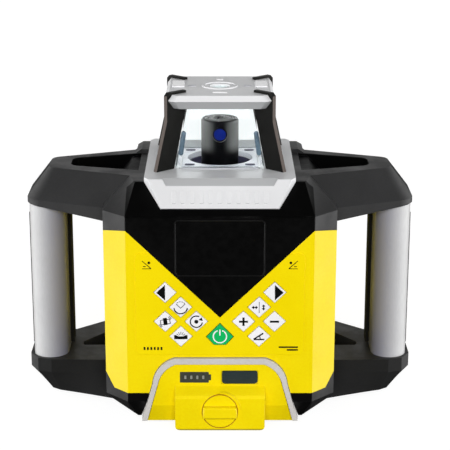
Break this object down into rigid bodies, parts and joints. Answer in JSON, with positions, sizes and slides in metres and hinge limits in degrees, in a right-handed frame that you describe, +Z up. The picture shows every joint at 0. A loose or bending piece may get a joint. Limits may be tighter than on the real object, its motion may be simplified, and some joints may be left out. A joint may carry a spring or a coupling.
{
  "type": "rotating laser level",
  "caption": "Rotating laser level: eight-sided case with two side handles, spinning rotor head in a glass lantern, keypad with display, pull-out battery and tripod thread.",
  "frame": {"origin": "mouth of the tripod thread, on the plane that the feet stand on, on the rotor's axis", "axes": "+X from the left handle to the right handle as the keypad is faced, -Y out of the keypad, +Z up along the rotor's axis"},
  "size_m": [0.249, 0.156, 0.2052],
  "materials": {
    "dark_plastic": "fine-grained black ABS",
    "crown_plastic": "fine-grained black ABS",
    "yellow_plastic": "satin yellow ABS",
    "display_black": "gloss black acrylic",
    "key_white": "satin white silicone",
    "key_green": "satin green silicone",
    "overlay_yellow": "printed polycarbonate film",
    "silver_paint": "silver paint on a die casting",
    "deck_silver": "silver paint",
    "tube_silver": "satin silver paint",
    "post_black": "black moulded plastic",
    "clear_glass": "clear float glass",
    "lens_glass": "clear optical glass",
    "beam_glass": "coated blue optical window",
    "strip_blue": "blue-grey glazing tape",
    "boot_violet": "violet-black bellows rubber",
    "grip_rubber": "black grip rubber",
    "bezel_grey": "warm grey plastic",
    "smoke_window": "smoked window",
    "port_rubber": "dark rubber",
    "brass": "machined brass",
    "steel": "plated steel",
    "aluminium": "machined aluminium",
    "board_green": "solder-masked board",
    "belt_rubber": "toothed belt rubber",
    "cell_wrap": "shrink-wrapped cell",
    "rotor_black": "satin black anodised sleeve",
    "foot_rubber": "black rubber"
  },
  "bodies": {
    "chassis": {"base_housing": "dark_plastic", "body_shell": "yellow_plastic", "top_housing": "crown_plastic", "display_panel": "display_black", "display_module": "board_green", "keypad_overlay": "overlay_yellow", "keypad_board": "board_green", "main_board": "board_green", "collar": "silver_paint", "deck_plate": "deck_silver", "lantern_roof": "silver_paint", "roof_lens": "lens_glass", "front_left_post": "post_black", "front_right_post": "post_black", "rear_left_post": "post_black", "rear_right_post": "post_black", "lantern_glass": "clear_glass", "glazing_strips": "strip_blue", "well_boot": "boot_violet", "left_tube": "tube_silver", "right_tube": "tube_silver", "left_grip": "grip_rubber", "right_grip": "grip_rubber", "tripod_insert": "brass", "feet": "foot_rubber", "battery_bezel": "bezel_grey", "contact_block": "dark_plastic", "inner_frame": "aluminium", "leveling_motors": "steel", "screws": "steel"},
    "gimbal": {"gimbal_ring": "aluminium"},
    "optics": {"optics_housing": "aluminium", "laser_module": "brass", "spindle_bearings": "steel", "drive_motor": "steel", "drive_belt": "belt_rubber"},
    "rotor": {"rotor_head": "rotor_black", "rotor_window": "beam_glass", "pentaprism": "lens_glass", "spindle": "aluminium", "rotor_pulley": "aluminium"},
    "motor_shaft": {"motor_pulley": "aluminium"},
    "battery": {"battery_case": "yellow_plastic", "battery_cells": "cell_wrap", "gauge_window": "smoke_window", "charge_socket": "dark_plastic"},
    "lock": {"lock_knob": "yellow_plastic", "lock_latch": "steel"},
    "port": {"port_cover": "port_rubber"},
    "left_key_body": {"left_key": "key_white"},
    "scan_key_body": {"scan_key": "key_white"},
    "shock_key_body": {"shock_key": "key_white"},
    "speed_key_body": {"speed_key": "key_white"},
    "tilt_key_body": {"tilt_key": "key_white"},
    "right_key_body": {"right_key": "key_white"},
    "axis_key_body": {"axis_key": "key_white"},
    "plus_key_body": {"plus_key": "key_white"},
    "minus_key_body": {"minus_key": "key_white"},
    "grade_key_body": {"grade_key": "key_white"},
    "power_key_body": {"power_key": "key_green"}
  },
  "joints": [
    {"name": "gimbal_tilt_x", "type": "hinge", "parent": "chassis", "child": "gimbal", "pos_m": [0, 0, 0.12], "axis": [1, 0, 0], "range_deg": [-5, 5]},
    {"name": "optics_tilt_y", "type": "hinge", "parent": "gimbal", "child": "optics", "pos_m": [0, 0, 0.12], "axis": [0, 1, 0], "range_deg": [-5, 5]},
    {"name": "rotor_spin", "type": "hinge", "parent": "optics", "child": "rotor", "pos_m": [0, 0, 0.15], "axis": [0, 0, 1], "continuous": true},
    {"name": "motor_spin", "type": "hinge", "parent": "optics", "child": "motor_shaft", "pos_m": [0.026, 0, 0.14], "axis": [0, 0, 1], "continuous": true},
    {"name": "battery_slide", "type": "slide", "parent": "chassis", "child": "battery", "axis": [0, -1, 0], "range_m": [0, 0.055]},
    {"name": "lock_turn", "type": "hinge", "parent": "battery", "child": "lock", "pos_m": [0, -0.08, 0.0142], "axis": [0, 1, 0], "range_deg": [0, 90]},
    {"name": "port_cover_swing", "type": "hinge", "parent": "battery", "child": "port", "pos_m": [0.0123, -0.0729, 0.0306], "axis": [1, 0, 0], "range_deg": [0, 100]},
    {"name": "left_key_press", "type": "slide", "parent": "chassis", "child": "left_key_body", "axis": [0, 1, 0], "range_m": [0, 0.0006], "stiffness_N_per_m": 400},
    {"name": "scan_key_press", "type": "slide", "parent": "chassis", "child": "scan_key_body", "axis": [0, 1, 0], "range_m": [0, 0.0006], "stiffness_N_per_m": 400},
    {"name": "shock_key_press", "type": "slide", "parent": "chassis", "child": "shock_key_body", "axis": [0, 1, 0], "range_m": [0, 0.0006], "stiffness_N_per_m": 400},
    {"name": "speed_key_press", "type": "slide", "parent": "chassis", "child": "speed_key_body", "axis": [0, 1, 0], "range_m": [0, 0.0006], "stiffness_N_per_m": 400},
    {"name": "tilt_key_press", "type": "slide", "parent": "chassis", "child": "tilt_key_body", "axis": [0, 1, 0], "range_m": [0, 0.0006], "stiffness_N_per_m": 400},
    {"name": "right_key_press", "type": "slide", "parent": "chassis", "child": "right_key_body", "axis": [0, 1, 0], "range_m": [0, 0.0006], "stiffness_N_per_m": 400},
    {"name": "axis_key_press", "type": "slide", "parent": "chassis", "child": "axis_key_body", "axis": [0, 1, 0], "range_m": [0, 0.0006], "stiffness_N_per_m": 400},
    {"name": "plus_key_press", "type": "slide", "parent": "chassis", "child": "plus_key_body", "axis": [0, 1, 0], "range_m": [0, 0.0006], "stiffness_N_per_m": 400},
    {"name": "minus_key_press", "type": "slide", "parent": "chassis", "child": "minus_key_body", "axis": [0, 1, 0], "range_m": [0, 0.0006], "stiffness_N_per_m": 400},
    {"name": "grade_key_press", "type": "slide", "parent": "chassis", "child": "grade_key_body", "axis": [0, 1, 0], "range_m": [0, 0.0006], "stiffness_N_per_m": 400},
    {"name": "power_key_press", "type": "slide", "parent": "chassis", "child": "power_key_body", "axis": [0, 1, 0], "range_m": [0, 0.0006], "stiffness_N_per_m": 400}
  ],
  "couplings": [
    {"joint": "motor_spin", "follows": "rotor_spin", "ratio": 2.5455}
  ]
}
